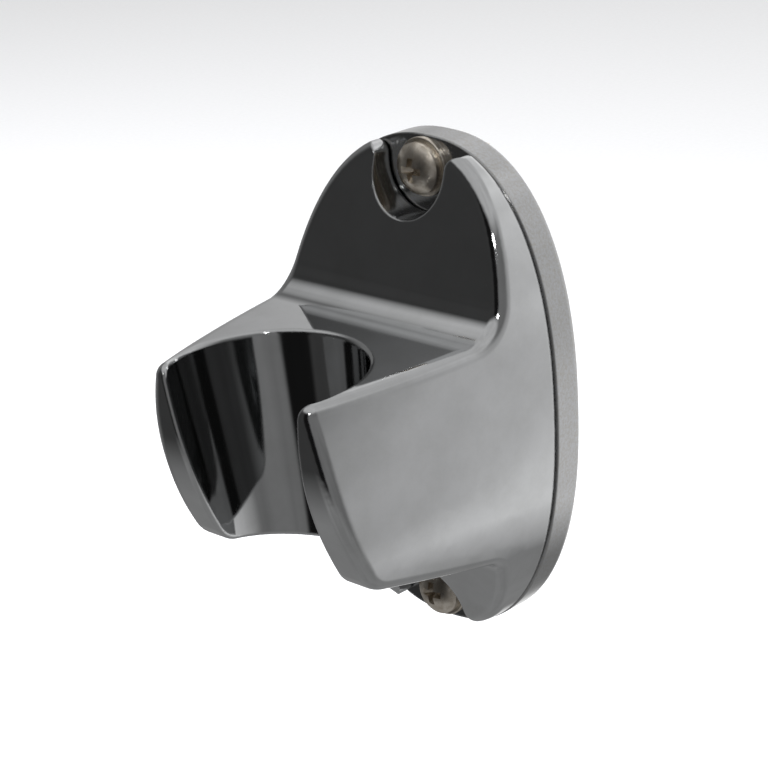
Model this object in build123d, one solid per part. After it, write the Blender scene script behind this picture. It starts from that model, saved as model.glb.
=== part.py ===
from build123d import *
import os
from math import asin, copysign, cos, pi, radians, sin, tan

# Hair dryer holder: a chrome-plated bracket that is screwed to a wall and carries a
# hair dryer by its handle in an open, leaning, tapered cradle.
#
# Frame: millimetres. The origin is the centre of the back face, on the wall.
# +X is to the right, +Z is up, and the holder stands out from the wall towards -Y.
# "Depth" below is the distance out from the wall, so a point at depth d has y = -d.

# ---------------------------------------------------------------- overall outline
body_width = 57.8
body_height = 95.0
oval_exponent = 2.34          # 2 is an ellipse; more than 2 is squarer
outline_points = 40           # points of the formula round the oval

# ---------------------------------------------------------------- back plate
plate_thickness = 6.8
plate_wall = 3.0              # rim and front web of the tray-shaped plate
plate_rib = 2.0
plate_back_radius = 1.1
plate_front_radius = 0.35
seam_gap = 0.35               # shadow line between the plate and the holder

# ---------------------------------------------------------------- front holder
holder_wall = 2.5
reach = 58.9                  # from the wall to the tips of the prongs
panel_depth = 18.6            # depth of the upper panel at its foot
panel_lean = 16.0             # degrees: the panel gets thinner towards its top
lower_panel_depth = 18.0
lower_panel_lean = 22.5
cradle_top = 17.4             # height of the cradle's top at the panel's foot
cradle_slope = 2.6            # degrees: the top falls towards the prongs
cradle_bottom = -26.4         # height of the underside at the lower panel's foot
underside_slope = 10.0        # degrees: the underside rises towards the front
front_arc_radius = 70.0       # the prongs' front faces, seen from the side
middle_depth = 20.0           # the sides are barely tapered back to here
middle_width = 54.8
middle_height = 93.4
front_width = 42.2            # tapered oval at the prongs' tips
front_height = 70.6
front_drop = 5.8              # how far its centre lies below the plate's centre
panel_foot_radius = 8.0
lower_foot_radius = 5.0
tip_radius = 2.6
chin_radius = 6.5             # where the prongs' fronts turn into the underside
side_edge_radius = 2.6        # rounded edge all round the holder's sides

# ---------------------------------------------------------------- cradle bore
bore_diameter = 36.4          # at the cradle's top
bore_half_angle = 5.3         # degrees
bore_lean = 7.0               # degrees: the top of the bore leans away from the wall
bore_inset = 8.9              # from the prongs' tips back to the bore's centre
bore_edge_radius = 0.7

# ---------------------------------------------------------------- wall screws
wall_screw_edge = 5.8         # from the plate's top or bottom edge to the screw
wall_screw_diameter = 4.8
wall_screw_length = 19.0
wall_screw_pitch = 1.6
wall_screw_neck = 4.2         # thinner shank of a rolled screw, through the washer and plate
wall_screw_plain = 2.2        # full-diameter shank just behind the plate's back face
thread_depth = 0.55
head_diameter = 9.5
head_height = 3.4
head_side = 1.3               # straight side of the head, below its dome
recess_width = 1.25           # cross recess
recess_span = 5.2
recess_depth = 2.3
screw_clearance = 0.25        # radial, in the plate's holes and the washers
washer_diameter = 11.0
washer_thickness = 1.0
notch_clearance = 3.65        # from the screw's head to the notch's side
notch_tip_radius = 2.2

# ---------------------------------------------------------------- assembly screws
case_screw_diameter = 2.9
case_screw_length = 6.5
case_head_diameter = 5.6
case_head_height = 2.0
case_head_side = 0.8
case_screw_pitch = 1.1
case_thread_depth = 0.4
case_screw_neck = 2.5         # thinner shank through the plate's web
case_screw_plain = 0.4        # full-diameter shank beyond it
case_recess_span = 2.9
case_recess_width = 0.7
case_recess_depth = 1.1
boss_wall = 2.0
boss_side_gap = 3.4           # between a boss and the holder's side wall
upper_boss_rise = 7.2         # above the cradle's top
lower_boss_drop = 4.2         # below the underside
pilot_clearance = 1.0         # hole beyond the screw's tip

# ---------------------------------------------------------------- inside the holder
rib_thickness = 2.0
rib_setback = 2.0             # between the plate and the ribs inside the holder
lip_height = 1.6              # locating lips of the plate, inside the holder
lip_thickness = 1.5
lip_clearance = 0.25
lip_half_height = 27.0
cavity_front = 36.0           # the hollow stops at this depth, where the prongs are thin

# ---------------------------------------------------------------- worked out
seam_depth = plate_thickness + seam_gap
wall_screw_z = body_height / 2 - wall_screw_edge
notch_radius = head_diameter / 2 + notch_clearance
boss_radius = case_screw_diameter / 2 + boss_wall
upper_boss_z = cradle_top + upper_boss_rise
lower_boss_z = cradle_bottom - lower_boss_drop
bore_centre_depth = reach - bore_inset
side_draft = (body_width - middle_width) / 2 / (middle_depth - plate_thickness)
case_seat_depth = plate_thickness - plate_wall
case_screw_tip_depth = case_seat_depth + case_screw_length
case_pilot_radius = case_screw_diameter / 2      # the thread fills its own hole
tip_margin = 0.5               # the holder's blank runs on past its tips by this much
back_start = seam_depth / 2    # the holder's blank starts here and is trimmed at the seam
FAR = 150.0                   # longer than anything


def oval_half_width(z, width, height):
    """Half-width of the oval at height z."""
    n = oval_exponent
    return width / 2 * (1 - (2 * abs(z) / height) ** n) ** (1 / n)


def oval(width, height, depth=0.0, drop=0.0):
    """The oval as a face, standing at a depth from the wall."""
    power = 2 / oval_exponent
    points = []
    for i in range(outline_points):
        angle = pi / 2 + 2 * pi * i / outline_points
        x = copysign(width / 2 * abs(cos(angle)) ** power, cos(angle))
        z = copysign(height / 2 * abs(sin(angle)) ** power, sin(angle))
        points.append((x, z - drop))
    outline = make_face(Spline(*points, periodic=True))
    return Plane.XZ.offset(depth) * outline


def corner(shape, depth, z):
    """The vertex of a side profile that is nearest to a place."""
    return shape.vertices().sort_by_distance((-depth, z, 0))[0]


def side_profile():
    """The holder seen from the side, in plane YZ: panels, cradle, prongs and underside."""
    top = body_height
    panel_top_depth = panel_depth - (top - cradle_top) * tan(radians(panel_lean))
    lower_end_depth = lower_panel_depth - (top + cradle_bottom) * tan(radians(lower_panel_lean))
    tip_z = cradle_top - (reach - panel_depth) * tan(radians(cradle_slope))
    chin_angle = radians(42)
    for _ in range(20):
        chin_depth = reach - front_arc_radius * (1 - cos(chin_angle))
        chin_z = cradle_bottom + (chin_depth - lower_panel_depth) * tan(radians(underside_slope))
        chin_angle = asin((tip_z - chin_z) / front_arc_radius)
    half = chin_angle / 2
    arc_middle = (
        -(reach - front_arc_radius * (1 - cos(half))),
        tip_z - front_arc_radius * sin(half),
    )
    foot = (-panel_depth, cradle_top)
    tip = (-reach, tip_z)
    chin = (-chin_depth, chin_z)
    lower_foot = (-lower_panel_depth, cradle_bottom)
    outline = [
        Line((-panel_top_depth, top), foot),
        Line(foot, tip),
        ThreePointArc(tip, arc_middle, chin),
        Line(chin, lower_foot),
        Line(lower_foot, (-lower_end_depth, -top)),
        Line((-lower_end_depth, -top), (FAR, -top)),
        Line((FAR, -top), (FAR, top)),
        Line((FAR, top), (-panel_top_depth, top)),
    ]
    profile = make_face(outline)
    profile = fillet(corner(profile, panel_depth, cradle_top), panel_foot_radius)
    profile = fillet(corner(profile, reach, tip_z), tip_radius)
    profile = fillet(corner(profile, chin_depth, chin_z), chin_radius)
    profile = fillet(corner(profile, lower_panel_depth, cradle_bottom), lower_foot_radius)
    return profile


def prism(profile, half_width):
    """A side profile, extruded to both sides of the middle."""
    return extrude(Plane.YZ * profile, half_width, both=True)


def tapered_half(inset):
    """Right half of the tapered oval body, made smaller all round by an inset."""
    sections = (
        (body_width, body_height, back_start, 0),
        (middle_width, middle_height, middle_depth, 0),
        (front_width, front_height, reach + tip_margin, front_drop),
    )
    ovals = [
        oval(width - 2 * inset, height - 2 * inset, depth, drop)
        for width, height, depth, drop in sections
    ]
    return loft(ovals) & slab(0, FAR)


def bore_cone(extra_radius, beyond=12.0):
    """The tapered bore of the cradle, made larger all round by an extra radius."""
    tip_z = cradle_top - (reach - panel_depth) * tan(radians(cradle_slope))
    taper = tan(radians(bore_half_angle))
    height = cradle_top - cradle_bottom + 2 * beyond
    top_radius = bore_diameter / 2 + extra_radius + beyond * taper
    bottom_radius = top_radius - height * taper
    axis = Plane((0, -bore_centre_depth, tip_z), x_dir=(1, 0, 0),
                 z_dir=(0, sin(radians(bore_lean)), -cos(radians(bore_lean))))
    return Solid.make_cone(top_radius, bottom_radius, height, axis.offset(-beyond))


def notch_outline(extra_radius, up):
    """U-shaped notch round a wall screw, open at the top (up = 1) or the bottom (up = -1)."""
    radius = notch_radius + extra_radius
    seat = Pos(0, up * wall_screw_z) * Circle(radius)
    mouth = Pos(0, up * (wall_screw_z + body_height / 4)) * Rectangle(2 * radius, body_height / 2)
    return seat + mouth


def notched_column():
    """The oval less both notches, as a long column with its four horn tips rounded."""
    margin = 0.1
    outline = oval(body_width + margin, body_height + margin)
    outline = outline - Plane.XZ * notch_outline(0, 1) - Plane.XZ * notch_outline(0, -1)
    column = extrude(outline, FAR)
    tips = [
        edge
        for edge in column.edges().filter_by(Axis.Y)
        if abs(abs((edge @ 0.5).X) - notch_radius) < 0.01 and abs((edge @ 0.5).Z) > wall_screw_z + 1
    ]
    return fillet(tips, notch_tip_radius)


def boss_places():
    """Centres (x, z) of the four assembly screws."""
    places = []
    for z in (upper_boss_z, lower_boss_z):
        x = oval_half_width(z, body_width, body_height) - holder_wall - boss_side_gap - boss_radius
        places += [(-x, z), (x, z)]
    return places


def rod(x, z, radius, from_depth, to_depth):
    """A cylinder along Y between two depths."""
    circle = Plane.XZ.offset(from_depth) * Pos(x, z) * Circle(radius)
    return extrude(circle, to_depth - from_depth)


def slab(x_low, x_high):
    """Everything between two planes across X."""
    return Pos((x_low + x_high) / 2, 0, 0) * Box(x_high - x_low, 2 * FAR, 2 * FAR)


def in_front_of(depth):
    """Everything farther from the wall than a depth."""
    return Pos(0, -depth - FAR, 0) * Box(2 * FAR, 2 * FAR, 2 * FAR)


def side_edges(solid):
    """Edges where the profile meets the tapered side: one smooth chain round the side."""
    edges = []
    for edge in solid.edges():
        middle = edge @ 0.5
        crosses = abs((edge @ 0).X - (edge @ 1).X) < 1e-3 and abs(middle.X - (edge @ 0).X) < 1e-3
        straight = edge.geom_type == GeomType.LINE
        if not crosses and not straight and middle.Y < -back_start - 0.05:
            edges.append(edge)
    return edges


def outer_body():
    """The holder's outer shape, solid, with its rounded side edges, before bore and notches."""
    half = (tapered_half(0) & prism(side_profile(), body_width)).solids()[0]
    middle = 0.95 * notch_radius
    flank = (half & slab(middle, FAR)).solids()[0]
    flank = flank.fillet(side_edge_radius, side_edges(flank))
    spine = half & slab(0, middle)
    right = spine + flank
    body = right + mirror(right, Plane.YZ)
    return (body & in_front_of(seam_depth)).solids()[0]


def cavity():
    """The hollow of the holder, open towards the plate, before bosses and ribs."""
    profile = offset(side_profile(), -holder_wall)
    half = (tapered_half(holder_wall) & prism(profile, body_width)).solids()[0]
    hollow = half + mirror(half, Plane.YZ)
    length = cavity_front - back_start
    hollow = hollow & Pos(0, -back_start - length / 2, 0) * Box(FAR, length, FAR)
    hollow = hollow - bore_cone(holder_wall)
    for up in (1, -1):
        hollow = hollow - extrude(Plane.XZ * notch_outline(holder_wall, up), FAR / 2, both=True)
    return hollow


def holder_bosses():
    """Bosses for the assembly screws, reaching back to the plate."""
    bosses = [rod(x, z, boss_radius, plate_thickness, cavity_front) for x, z in boss_places()]
    return Compound(bosses)


def holder_ribs():
    """A cross of ribs in the hollow, behind the bore."""
    start = plate_thickness + rib_setback
    depth = cavity_front - start
    upright = Pos(0, -start - depth / 2, (cradle_top + cradle_bottom) / 2)
    upright = upright * Box(rib_thickness, depth, cradle_top - cradle_bottom)
    level = Pos(0, -start - depth / 2, (cradle_top + cradle_bottom) / 2)
    level = level * Box(body_width, depth, rib_thickness)
    return upright + level


def front_holder():
    """One-piece hollow holder: shell, cradle bore, notches, bosses and ribs."""
    body = outer_body() - bore_cone(0)
    body = (body & notched_column()).solids()[0]
    bore = body.faces().filter_by(GeomType.CONE).sort_by(SortBy.AREA)[-1]
    body = body.fillet(bore_edge_radius, bore.edges())
    hollow = cavity()
    shell = body - hollow
    shell = shell + (hollow & (holder_bosses() + holder_ribs()) & in_front_of(plate_thickness))
    tip_depth = case_screw_tip_depth + pilot_clearance
    for x, z in boss_places():
        shell = shell - rod(x, z, case_pilot_radius, 0, tip_depth)
    return shell.solids()[0]


def back_plate():
    """Oval tray screwed to the wall: rim, front web, ribs, screw towers and locating lips."""
    plate = extrude(oval(body_width, body_height), plate_thickness)
    plate = plate.solids()[0]
    back_edges = plate.edges().filter_by_position(Axis.Y, -0.01, 0.01)
    front_edges = plate.edges().filter_by_position(Axis.Y, -plate_thickness - 0.01, -plate_thickness + 0.01)
    plate = plate.fillet(plate_back_radius, back_edges)
    plate = plate.fillet(plate_front_radius, front_edges)
    rim = 2 * (plate_wall + plate_back_radius)
    tray = extrude(oval(body_width - rim, body_height - rim), plate_thickness - plate_wall)
    tray = tray - Box(plate_rib, 2 * plate_thickness, body_height)
    tray = tray - Box(body_width, 2 * plate_thickness, plate_rib)
    tower = washer_diameter / 2
    for z in (wall_screw_z, -wall_screw_z):
        tray = tray - rod(0, z, tower, 0, plate_thickness)
    plate = plate - tray
    plate = plate + locating_lips()
    for z in (wall_screw_z, -wall_screw_z):
        plate = plate - rod(0, z, wall_screw_diameter / 2 + screw_clearance, 0, plate_thickness)
    for x, z in boss_places():
        plate = plate - rod(x, z, case_screw_diameter / 2 + screw_clearance, 0, plate_thickness)
    return plate.solids()[0]


def locating_lips():
    """Two curved lips on the plate's front that centre the holder from inside."""
    outer = 2 * (holder_wall + lip_clearance + lip_height * side_draft)
    inner = outer + 2 * lip_thickness
    ring = oval(body_width - outer, body_height - outer, plate_thickness)
    ring = ring - oval(body_width - inner, body_height - inner, plate_thickness)
    lips = extrude(ring, lip_height)
    return lips & Box(body_width, FAR, 2 * lip_half_height)


def pan_head(diameter, height, side, seat_depth):
    """Domed head standing out from a seat, as a turned shape."""
    radius = diameter / 2
    rise = height - side
    dome = (radius ** 2 + rise ** 2) / (2 * rise)
    half = asin(radius / dome) / 2
    middle = (dome * sin(half), height - dome + dome * cos(half))
    profile = make_face([
        Line((0, 0), (radius, 0)),
        Line((radius, 0), (radius, side)),
        ThreePointArc((radius, side), middle, (0, height)),
        Line((0, height), (0, 0)),
    ])
    turned = revolve(profile, Axis.Y)
    return Pos(0, -seat_depth, 0) * Rot(180, 0, 0) * turned


def cross_recess(span, width, depth, top_depth):
    """Cross-shaped socket with sloping ends, cut into a head whose top is at a depth."""
    cross = Box(span, depth, width) + Box(width, depth, span)
    cone = Cone(width * 0.75, span / 2, depth, rotation=(90, 0, 0))
    socket = cross & cone
    return Pos(0, -top_depth + depth / 2, 0) * socket


def threaded_shank(diameter, neck_diameter, neck_length, plain, length, pitch, depth):
    """Shank along +Y from a head at the origin: neck, plain stretch, then ridges like a thread."""
    crest = diameter / 2
    neck = neck_diameter / 2
    point = 2 * crest
    at = neck_length + plain
    outline = [(0, 0), (neck, 0), (neck, neck_length), (crest, neck_length), (crest, at)]
    while at + pitch < length:
        root_fit = min(1, (length - at - 0.25 * pitch) / point)
        crest_fit = min(1, (length - at - 0.75 * pitch) / point)
        outline += [
            ((crest - depth) * root_fit, at + 0.25 * pitch),
            (crest * crest_fit, at + 0.75 * pitch),
        ]
        at += pitch
    outline.append((0, length))
    return revolve(make_face(Polyline(*outline, close=True)), Axis.Y)


def wall_screw():
    """Pan-head tapping screw on the axis of Y, through the plate into the wall."""
    seat = plate_thickness + washer_thickness
    head = pan_head(head_diameter, head_height, head_side, seat)
    head = head - cross_recess(recess_span, recess_width, recess_depth, seat + head_height)
    shank = threaded_shank(
        wall_screw_diameter, wall_screw_neck, seat, wall_screw_plain,
        wall_screw_length, wall_screw_pitch, thread_depth,
    )
    return (head + Pos(0, -seat, 0) * shank).solids()[0]


def washer():
    """Flat washer on the axis of Y, between the plate and the wall screw's head."""
    disc = rod(0, 0, washer_diameter / 2, plate_thickness, plate_thickness + washer_thickness)
    disc = fillet(disc.edges().sort_by(Axis.Y)[0], washer_thickness * 0.3)
    return disc - rod(0, 0, wall_screw_diameter / 2 + screw_clearance, 0, FAR)


def case_screw():
    """Small pan-head screw on the axis of Y, put in from the back of the plate."""
    head = pan_head(case_head_diameter, case_head_height, case_head_side, 0)
    head = head - cross_recess(case_recess_span, case_recess_width, case_recess_depth, case_head_height)
    shank = threaded_shank(
        case_screw_diameter, case_screw_neck, plate_wall, case_screw_plain,
        case_screw_length, case_screw_pitch, case_thread_depth,
    )
    screw = Rot(180, 0, 0) * (head + shank)
    return (Pos(0, -case_seat_depth, 0) * screw).solids()[0]


def write(node, shape):
    """One STEP file for one named piece."""
    shape.label = node
    export_step(shape, f"parts/{node}.step")


def main():
    os.makedirs("parts", exist_ok=True)
    write("front_holder", front_holder())
    write("back_plate", back_plate())
    for name, z in (("top", wall_screw_z), ("bottom", -wall_screw_z)):
        write(f"wall_screw_{name}", Pos(0, 0, z) * wall_screw())
        write(f"washer_{name}", Pos(0, 0, z) * washer())
    names = ("upper_left", "upper_right", "lower_left", "lower_right")
    for name, (x, z) in zip(names, boss_places()):
        write(f"case_screw_{name}", Pos(x, 0, z) * case_screw())


if __name__ == "__main__":
    main()
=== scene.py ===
from math import cos, radians, sin

import bpy
from mathutils import Matrix, Vector

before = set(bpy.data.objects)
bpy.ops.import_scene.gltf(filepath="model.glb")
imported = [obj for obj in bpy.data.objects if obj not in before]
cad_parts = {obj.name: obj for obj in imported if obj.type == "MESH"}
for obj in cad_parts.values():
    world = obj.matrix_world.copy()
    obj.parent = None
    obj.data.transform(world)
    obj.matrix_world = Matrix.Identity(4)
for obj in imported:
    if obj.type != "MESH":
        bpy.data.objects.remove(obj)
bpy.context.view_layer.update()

# Looks of a chrome-plated wall holder for a hair dryer. The moulded holder and its plate
# are bright chrome, the wall screws and washers nickel, and the hidden case screws zinc.
# +Z is up, the wall is the plane Y = 0 and the holder stands out towards -Y.

bl_info = {
    "name": "Hair Dryer Holder",
    "version": (1, 0, 0),
    "blender": (4, 5, 0),
    "location": "View3D > Sidebar > Dryer Holder",
    "description": "Finishes and studio for a chrome wall holder for a hair dryer",
    "category": "Object",
}

MM = 0.001
SENSOR = 36 * MM


# ------------------------------------------------------------------ colours
def linear(hex_colour):
    """An sRGB hex colour as linear RGBA."""
    channels = []
    for i in (1, 3, 5):
        c = int(hex_colour[i:i + 2], 16) / 255
        channels.append(c / 12.92 if c <= 0.04045 else ((c + 0.055) / 1.055) ** 2.4)
    return (*channels, 1.0)


# ------------------------------------------------------------------ settings
class HolderSettings(bpy.types.PropertyGroup):
    """Sizes and colours of the finishes."""

    chrome_colour: bpy.props.FloatVectorProperty(
        name="Chrome", description="Reflected colour of bright chromium plate",
        subtype="COLOR", size=4, min=0, max=1, default=linear("#c6c7c8"))
    rim_colour: bpy.props.FloatVectorProperty(
        name="Rim", description="Duller chromium on the plate's rim",
        subtype="COLOR", size=4, min=0, max=1, default=linear("#adaeb0"))
    nickel_colour: bpy.props.FloatVectorProperty(
        name="Nickel", description="Reflected colour of nickel plate on the wall screws",
        subtype="COLOR", size=4, min=0, max=1, default=linear("#ece4d8"))
    zinc_colour: bpy.props.FloatVectorProperty(
        name="Zinc", description="Reflected colour of zinc plate on the case screws",
        subtype="COLOR", size=4, min=0, max=1, default=linear("#b4b9bd"))
    sink_width: bpy.props.FloatProperty(
        name="Sink width", description="Width of the shallow waves that moulding leaves",
        unit="LENGTH", min=1 * MM, default=14 * MM)
    smear_width: bpy.props.FloatProperty(
        name="Smear width", description="Width of wiped smears on the chrome",
        unit="LENGTH", min=1 * MM, default=9 * MM)
    pit_width: bpy.props.FloatProperty(
        name="Pit width", description="Width of the fine pits on the plate's rim",
        unit="LENGTH", min=0.05 * MM, default=0.5 * MM)
    edge_radius: bpy.props.FloatProperty(
        name="Edge radius", description="Rounding that plating gives to sharp edges",
        unit="LENGTH", min=0, default=0.70 * MM)


class StudioSettings(bpy.types.PropertyGroup):
    """Camera and studio."""

    azimuth: bpy.props.FloatProperty(
        name="Azimuth", description="Direction of the camera, from the holder's front to its right",
        subtype="ANGLE", default=radians(43.84))
    elevation: bpy.props.FloatProperty(
        name="Elevation", description="Height of the camera above level",
        subtype="ANGLE", default=radians(20.50))
    roll: bpy.props.FloatProperty(
        name="Roll", description="Tilt of the camera about its own axis",
        subtype="ANGLE", default=radians(-3.22))
    distance: bpy.props.FloatProperty(
        name="Distance", description="From the camera to the holder's middle",
        unit="LENGTH", default=420 * MM)
    focal_length: bpy.props.FloatProperty(
        name="Focal length", description="On a 36 mm sensor", default=108.16, min=10)
    floor_drop: bpy.props.FloatProperty(
        name="Floor drop", description="From the holder's middle down to the floor",
        unit="LENGTH", default=0.6)
    floor_colour: bpy.props.FloatVectorProperty(
        name="Floor", description="Pale paper of the studio floor",
        subtype="COLOR", size=4, min=0, max=1, default=linear("#fdfdfd"))


# ------------------------------------------------------------------ node helpers
def add(tree, kind, settings=None, **links):
    """Adds a node. Settings are attributes or input values; links feed inputs by name or number."""
    node = tree.nodes.new(kind)
    for name, value in (settings or {}).items():
        if isinstance(name, str) and hasattr(node, name):
            setattr(node, name, value)
        else:
            node.inputs[name].default_value = value
    for name, socket in links.items():
        key = int(name[2:]) if name.startswith("in") and name[2:].isdigit() else name.replace("_", " ")
        tree.links.new(socket, node.inputs[key])
    return node


def ramp(tree, factor, stops):
    """A colour ramp through (position, colour) stops."""
    node = add(tree, "ShaderNodeValToRGB", Fac=factor)
    points = node.color_ramp.elements
    while len(points) < len(stops):
        points.new(0.5)
    for point, (position, colour) in zip(points, stops):
        point.position = position
        point.color = colour
    return node


def new_material(name):
    """An empty node material with its tree, output and object coordinates."""
    material = bpy.data.materials.new(name)
    material.use_nodes = True
    tree = material.node_tree
    tree.nodes.clear()
    output = tree.nodes.new("ShaderNodeOutputMaterial")
    place = tree.nodes.new("ShaderNodeTexCoord").outputs["Object"]
    return material, tree, output, place


def noise(tree, place, width, detail=2.0, roughness=0.5):
    """Noise whose patches are about one width across."""
    return add(
        tree, "ShaderNodeTexNoise",
        {"Scale": 1 / width, "Detail": detail, "Roughness": roughness}, Vector=place,
    ).outputs["Fac"]


def remap(tree, value, low, high, to_low, to_high):
    """A value from one range, held inside another."""
    return add(
        tree, "ShaderNodeMapRange",
        {"From Min": low, "From Max": high, "To Min": to_low, "To Max": to_high}, Value=value,
    ).outputs["Result"]


def put_on(material, nodes):
    """Gives CAD nodes one material."""
    for name in nodes:
        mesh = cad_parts[name].data
        mesh.materials.clear()
        mesh.materials.append(material)


# ------------------------------------------------------------------ finishes
def bright_chrome(s):
    """Bright decorative chromium over nickel on moulded ABS.

    The plate levels the moulding to a mirror, so what the eye sees is the room, bent a
    little by sink marks. Wiping leaves faint smears, and plating rounds each edge.
    """
    material, tree, output, place = new_material("bright_chrome_plate")
    rounded = add(tree, "ShaderNodeBevel", {"samples": 6, "Radius": s.edge_radius})
    sink = noise(tree, place, s.sink_width, detail=1.0)
    waved = add(
        tree, "ShaderNodeBump", {"Strength": 0.10, "Distance": 0.10 * MM},
        Height=sink, Normal=rounded.outputs["Normal"],
    )
    smear = noise(tree, place, s.smear_width, detail=6.0, roughness=0.65)
    roughness = remap(tree, smear, 0.45, 0.75, 0.035, 0.12)
    colour = ramp(tree, smear, (
        (0.40, tuple(s.chrome_colour)),
        (0.80, linear("#bcbdbd")),
    ))
    shader = add(
        tree, "ShaderNodeBsdfPrincipled", {"Metallic": 1.0},
        Base_Color=colour.outputs["Color"], Roughness=roughness, Normal=waved.outputs["Normal"],
    )
    tree.links.new(shader.outputs["BSDF"], output.inputs["Surface"])
    return material


def rim_chrome(s):
    """The same chromium plate on the back plate's rim, which was tumbled and not buffed.

    Fine pits blur what it reflects, so the rim reads satin, and it is a little warmer and darker down
    in the pits.
    """
    material, tree, output, place = new_material("satin_chrome_rim")
    rounded = add(tree, "ShaderNodeBevel", {"samples": 6, "Radius": s.edge_radius})
    pits = noise(tree, place, s.pit_width, detail=4.0, roughness=0.7)
    pitted = add(
        tree, "ShaderNodeBump", {"Strength": 0.10, "Distance": 0.02 * MM},
        Height=pits, Normal=rounded.outputs["Normal"],
    )
    smear = noise(tree, place, s.smear_width, detail=5.0, roughness=0.6)
    roughness = remap(tree, smear, 0.35, 0.7, 0.08, 0.17)
    colour = ramp(tree, pits, (
        (0.30, linear("#a3a19c")),
        (0.60, tuple(s.rim_colour)),
    ))
    shader = add(
        tree, "ShaderNodeBsdfPrincipled", {"Metallic": 1.0},
        Base_Color=colour.outputs["Color"], Roughness=roughness, Normal=pitted.outputs["Normal"],
    )
    tree.links.new(shader.outputs["BSDF"], output.inputs["Surface"])
    return material


def plated_steel(name, colour, dull_colour, low_roughness, high_roughness, grain_width):
    """Barrel-plated steel: bright on the crowns, duller where parts rubbed in the barrel."""
    material, tree, output, place = new_material(name)
    grain = noise(tree, place, grain_width, detail=5.0, roughness=0.65)
    dented = add(
        tree, "ShaderNodeBump", {"Strength": 0.25, "Distance": 0.04 * MM}, Height=grain)
    mixed = ramp(tree, grain, ((0.35, dull_colour), (0.62, tuple(colour))))
    shader = add(
        tree, "ShaderNodeBsdfPrincipled", {"Metallic": 1.0},
        Base_Color=mixed.outputs["Color"],
        Roughness=remap(tree, grain, 0.35, 0.65, high_roughness, low_roughness),
        Normal=dented.outputs["Normal"],
    )
    tree.links.new(shader.outputs["BSDF"], output.inputs["Surface"])
    return material


# ------------------------------------------------------------------ pieces
class HOLDER_OT_front_holder(bpy.types.Operator):
    """Chrome plate on the moulded holder with its cradle"""

    bl_idname = "dryer_holder.front_holder"
    bl_label = "Front Holder"

    def execute(self, context):
        put_on(bright_chrome(context.scene.dryer_holder), ["front_holder"])
        return {"FINISHED"}


class HOLDER_OT_back_plate(bpy.types.Operator):
    """Satin chrome on the oval plate behind the holder"""

    bl_idname = "dryer_holder.back_plate"
    bl_label = "Back Plate"

    def execute(self, context):
        put_on(rim_chrome(context.scene.dryer_holder), ["back_plate"])
        return {"FINISHED"}


class HOLDER_OT_wall_screws(bpy.types.Operator):
    """Nickel plate on both wall screws and their washers"""

    bl_idname = "dryer_holder.wall_screws"
    bl_label = "Wall Screws and Washers"

    def execute(self, context):
        nickel = plated_steel(
            "nickel_plated_steel", context.scene.dryer_holder.nickel_colour,
            linear("#d2c8b9"), 0.30, 0.44, 1.2 * MM)
        names = [f"{kind}_{end}" for kind in ("wall_screw", "washer") for end in ("top", "bottom")]
        put_on(nickel, names)
        return {"FINISHED"}


class HOLDER_OT_case_screws(bpy.types.Operator):
    """Zinc plate on the four small screws in the back"""

    bl_idname = "dryer_holder.case_screws"
    bl_label = "Case Screws"

    def execute(self, context):
        zinc = plated_steel(
            "zinc_plated_steel", context.scene.dryer_holder.zinc_colour,
            linear("#8d9296"), 0.28, 0.42, 0.8 * MM)
        names = [f"case_screw_{row}_{side}" for row in ("upper", "lower") for side in ("left", "right")]
        put_on(zinc, names)
        return {"FINISHED"}


# ------------------------------------------------------------------ studio
# A plain studio round the holder, in a few broad tones. Bearings are in degrees, from the
# holder's right (+X) round towards the wall behind it. Heights are in degrees above level.
WALLS = (
    (-180, "#606060"),
    (-150, "#303030"),    # dark cloth in front, to the left
    (-100, "#303030"),
    (-95, "#101010"),     # unlit doorway straight in front
    (-65, "#101010"),
    (-60, "#606060"),     # grey curtain
    (0, "#606060"),
    (60, "#c8c8c8"),      # white wall on the right
    (120, "#c8c8c8"),
    (150, "#606060"),
)
FLOOR_TONE = "#707070"
FLOOR_EDGE = (-45, -35)
CEILING_TONE = "#a0a0a0"
CEILING_EDGE = (40, 50)
STUDIO_STRENGTH = 1.8
MOTTLE = (0.90, 1.08)       # faint unevenness of the studio's tones, darkest and brightest
FLOOR_HALF = 4.0
AIM = Vector((0, -20 * MM, 0))
AIM_RIGHT = -0.65 * MM      # small shifts of the view, so that the holder sits in the middle
AIM_UP = 3.66 * MM
MIX_FACTOR, MIX_BELOW, MIX_ABOVE = 0, 6, 7    # colour sockets of the mix node


def bearing_ramp(tree, bearing, walls):
    """A ring of walls as a ramp over the bearing, closed at its ends."""
    stops = []
    for place, colour in walls + ((180, walls[0][1]),):
        stops.append(((place + 180) / 360, linear(colour)))
    return ramp(tree, bearing, stops).outputs["Color"]


def blend(tree, factor, low, high):
    """One colour below, another above."""
    node = add(tree, "ShaderNodeMix", {"data_type": "RGBA"})
    tree.links.new(factor, node.inputs[MIX_FACTOR])
    tree.links.new(low, node.inputs[MIX_BELOW])
    tree.links.new(high, node.inputs[MIX_ABOVE])
    return node.outputs[2]


def tone(tree, hex_colour):
    """One even colour for a part of the studio."""
    node = add(tree, "ShaderNodeRGB")
    node.outputs[0].default_value = linear(hex_colour)
    return node.outputs[0]


def height_blend(tree, height, edge):
    """From 0 below an edge between two heights, in degrees, to 1 above it."""
    return remap(tree, height, radians(edge[0]), radians(edge[1]), 0, 1)


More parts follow.
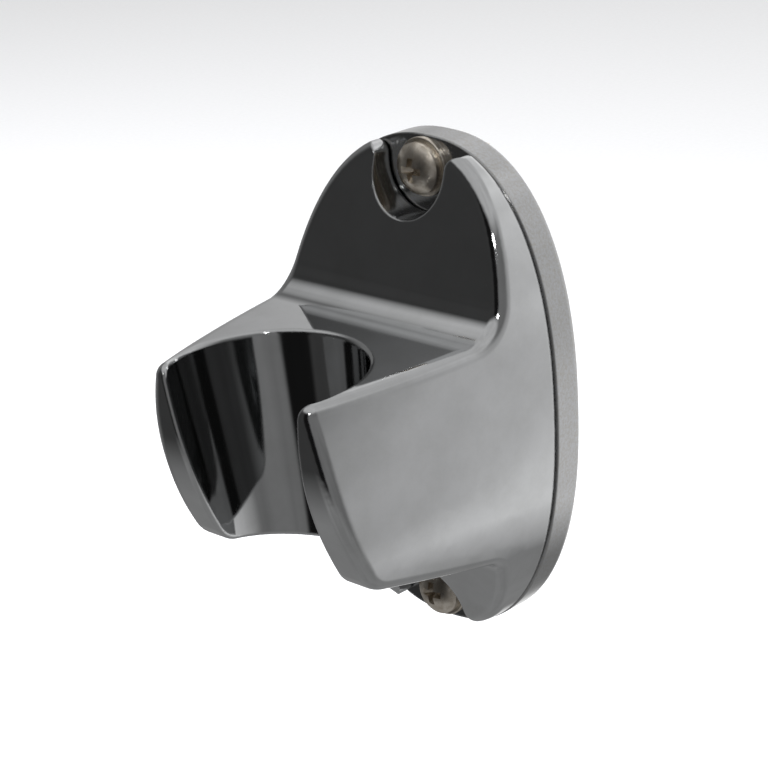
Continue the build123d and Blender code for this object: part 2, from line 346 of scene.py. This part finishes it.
def studio_world(settings):
    """The studio round the holder, which chrome shows. The camera itself sees pale paper."""
    world = bpy.data.worlds.new("studio")
    world.use_nodes = True
    tree = world.node_tree
    tree.nodes.clear()
    direction = add(tree, "ShaderNodeTexCoord").outputs["Generated"]
    axes = add(tree, "ShaderNodeSeparateXYZ", Vector=direction).outputs
    height = add(tree, "ShaderNodeMath", {"operation": "ARCSINE"}, in0=axes["Z"]).outputs[0]
    bearing = add(
        tree, "ShaderNodeMath", {"operation": "ARCTAN2"}, in0=axes["Y"], in1=axes["X"]).outputs[0]
    around = remap(tree, bearing, radians(-180), radians(180), 0, 1)
    room = bearing_ramp(tree, around, WALLS)
    room = blend(tree, height_blend(tree, height, FLOOR_EDGE), tone(tree, FLOOR_TONE), room)
    room = blend(tree, height_blend(tree, height, CEILING_EDGE), room, tone(tree, CEILING_TONE))
    mottle = add(tree, "ShaderNodeTexNoise", {"Scale": 3.0, "Detail": 2.0}, Vector=direction)
    shade = remap(tree, mottle.outputs["Fac"], 0.35, 0.65, *MOTTLE)
    room = add(
        tree, "ShaderNodeVectorMath", {"operation": "SCALE"}, in0=room, Scale=shade).outputs[0]
    seen = add(tree, "ShaderNodeLightPath").outputs["Is Camera Ray"]
    reflected = add(tree, "ShaderNodeBackground", {"Strength": STUDIO_STRENGTH}, Color=room)
    paper = add(tree, "ShaderNodeBackground", {"Color": settings.floor_colour, "Strength": 1.0})
    mixed = add(tree, "ShaderNodeMixShader", in0=seen)
    tree.links.new(reflected.outputs[0], mixed.inputs[1])
    tree.links.new(paper.outputs[0], mixed.inputs[2])
    add(tree, "ShaderNodeOutputWorld", Surface=mixed.outputs[0])
    return world


def paper_floor(settings):
    """Matt white paper: a soft, even surface with faint fibre."""
    material, tree, output, place = new_material("white_studio_paper")
    fibre = noise(tree, place, 6 * MM, detail=4.0)
    colour = ramp(tree, fibre, ((0.3, linear("#fafafa")), (0.7, tuple(settings.floor_colour))))
    shader = add(
        tree, "ShaderNodeBsdfPrincipled", {"Roughness": 0.9, "Specular IOR Level": 0.2},
        Base_Color=colour.outputs["Color"],
    )
    tree.links.new(shader.outputs["BSDF"], output.inputs["Surface"])
    return material


def soft_light(name, place, size, power, colour, shows=False):
    """A square soft box that faces the holder. Only small ones show in the chrome."""
    light = bpy.data.lights.new(name, "AREA")
    light.size = size
    light.energy = power
    light.color = linear(colour)[:3]
    lamp = bpy.data.objects.new(name, light)
    lamp.location = place
    lamp.rotation_euler = (-Vector(place)).to_track_quat("-Z", "Y").to_euler()
    lamp.visible_glossy = shows
    bpy.context.scene.collection.objects.link(lamp)


def studio_camera(settings):
    """The camera, in front and to the right of the holder and above it."""
    a, e, roll = settings.azimuth, settings.elevation, settings.roll
    back = Vector((sin(a) * cos(e), -cos(a) * cos(e), sin(e)))
    level = Vector((cos(a), sin(a), 0))
    upward = back.cross(level)
    right = cos(roll) * level + sin(roll) * upward
    top = cos(roll) * upward - sin(roll) * level
    aim = AIM + AIM_RIGHT * right + AIM_UP * top
    data = bpy.data.cameras.new("camera")
    data.sensor_width = SENSOR / MM
    data.lens = settings.focal_length
    data.clip_start = 10 * MM
    camera = bpy.data.objects.new("camera", data)
    turn = Matrix((right, top, back)).transposed().to_4x4()
    camera.matrix_world = Matrix.Translation(aim + back * settings.distance) @ turn
    bpy.context.scene.collection.objects.link(camera)
    bpy.context.scene.camera = camera


class HOLDER_OT_stage(bpy.types.Operator):
    """Pale floor, soft light, the studio that the chrome reflects, and the camera"""

    bl_idname = "dryer_holder.stage"
    bl_label = "Studio"

    def execute(self, context):
        settings = context.scene.dryer_studio
        half = FLOOR_HALF
        corners = [(-half, -half, 0), (half, -half, 0), (half, half, 0), (-half, half, 0)]
        mesh = bpy.data.meshes.new("floor")
        mesh.from_pydata(corners, [], [(0, 1, 2, 3)])
        mesh.materials.append(paper_floor(settings))
        floor = bpy.data.objects.new("floor", mesh)
        floor.location.z = -settings.floor_drop
        floor.visible_glossy = False
        context.scene.collection.objects.link(floor)
        context.scene.world = studio_world(settings)
        context.scene.view_settings.view_transform = "Standard"
        soft_light("key_light", (1.4, -1.8, 2.0), 1.6, 185.0, "#ffffff")
        soft_light("fill_light", (-1.8, -1.2, 1.2), 1.8, 85.0, "#f4f7ff")
        soft_light("small_lamp", (0.6, -0.8, 0.8), 0.1, 0.7, "#ffffff", shows=True)
        studio_camera(settings)
        return {"FINISHED"}


# ------------------------------------------------------------------ panel
PIECES = (
    HOLDER_OT_front_holder,
    HOLDER_OT_back_plate,
    HOLDER_OT_wall_screws,
    HOLDER_OT_case_screws,
    HOLDER_OT_stage,
)


class HOLDER_PT_panel(bpy.types.Panel):
    """Finishes of the holder, one button each"""

    bl_idname = "HOLDER_PT_panel"
    bl_label = "Dryer Holder"
    bl_space_type = "VIEW_3D"
    bl_region_type = "UI"
    bl_category = "Dryer Holder"

    def draw(self, context):
        for settings in (context.scene.dryer_holder, context.scene.dryer_studio):
            for name in settings.__annotations__:
                self.layout.prop(settings, name)
        for piece in PIECES:
            self.layout.operator(piece.bl_idname)


CLASSES = (HolderSettings, StudioSettings, *PIECES, HOLDER_PT_panel)


def register():
    for item in CLASSES:
        bpy.utils.register_class(item)
    bpy.types.Scene.dryer_holder = bpy.props.PointerProperty(type=HolderSettings)
    bpy.types.Scene.dryer_studio = bpy.props.PointerProperty(type=StudioSettings)


def unregister():
    del bpy.types.Scene.dryer_studio
    del bpy.types.Scene.dryer_holder
    for item in reversed(CLASSES):
        bpy.utils.unregister_class(item)


def main():
    """Registers the add-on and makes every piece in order."""
    register()
    bpy.ops.dryer_holder.front_holder()
    bpy.ops.dryer_holder.back_plate()
    bpy.ops.dryer_holder.wall_screws()
    bpy.ops.dryer_holder.case_screws()
    bpy.ops.dryer_holder.stage()


if __name__ == "__main__":
    main()
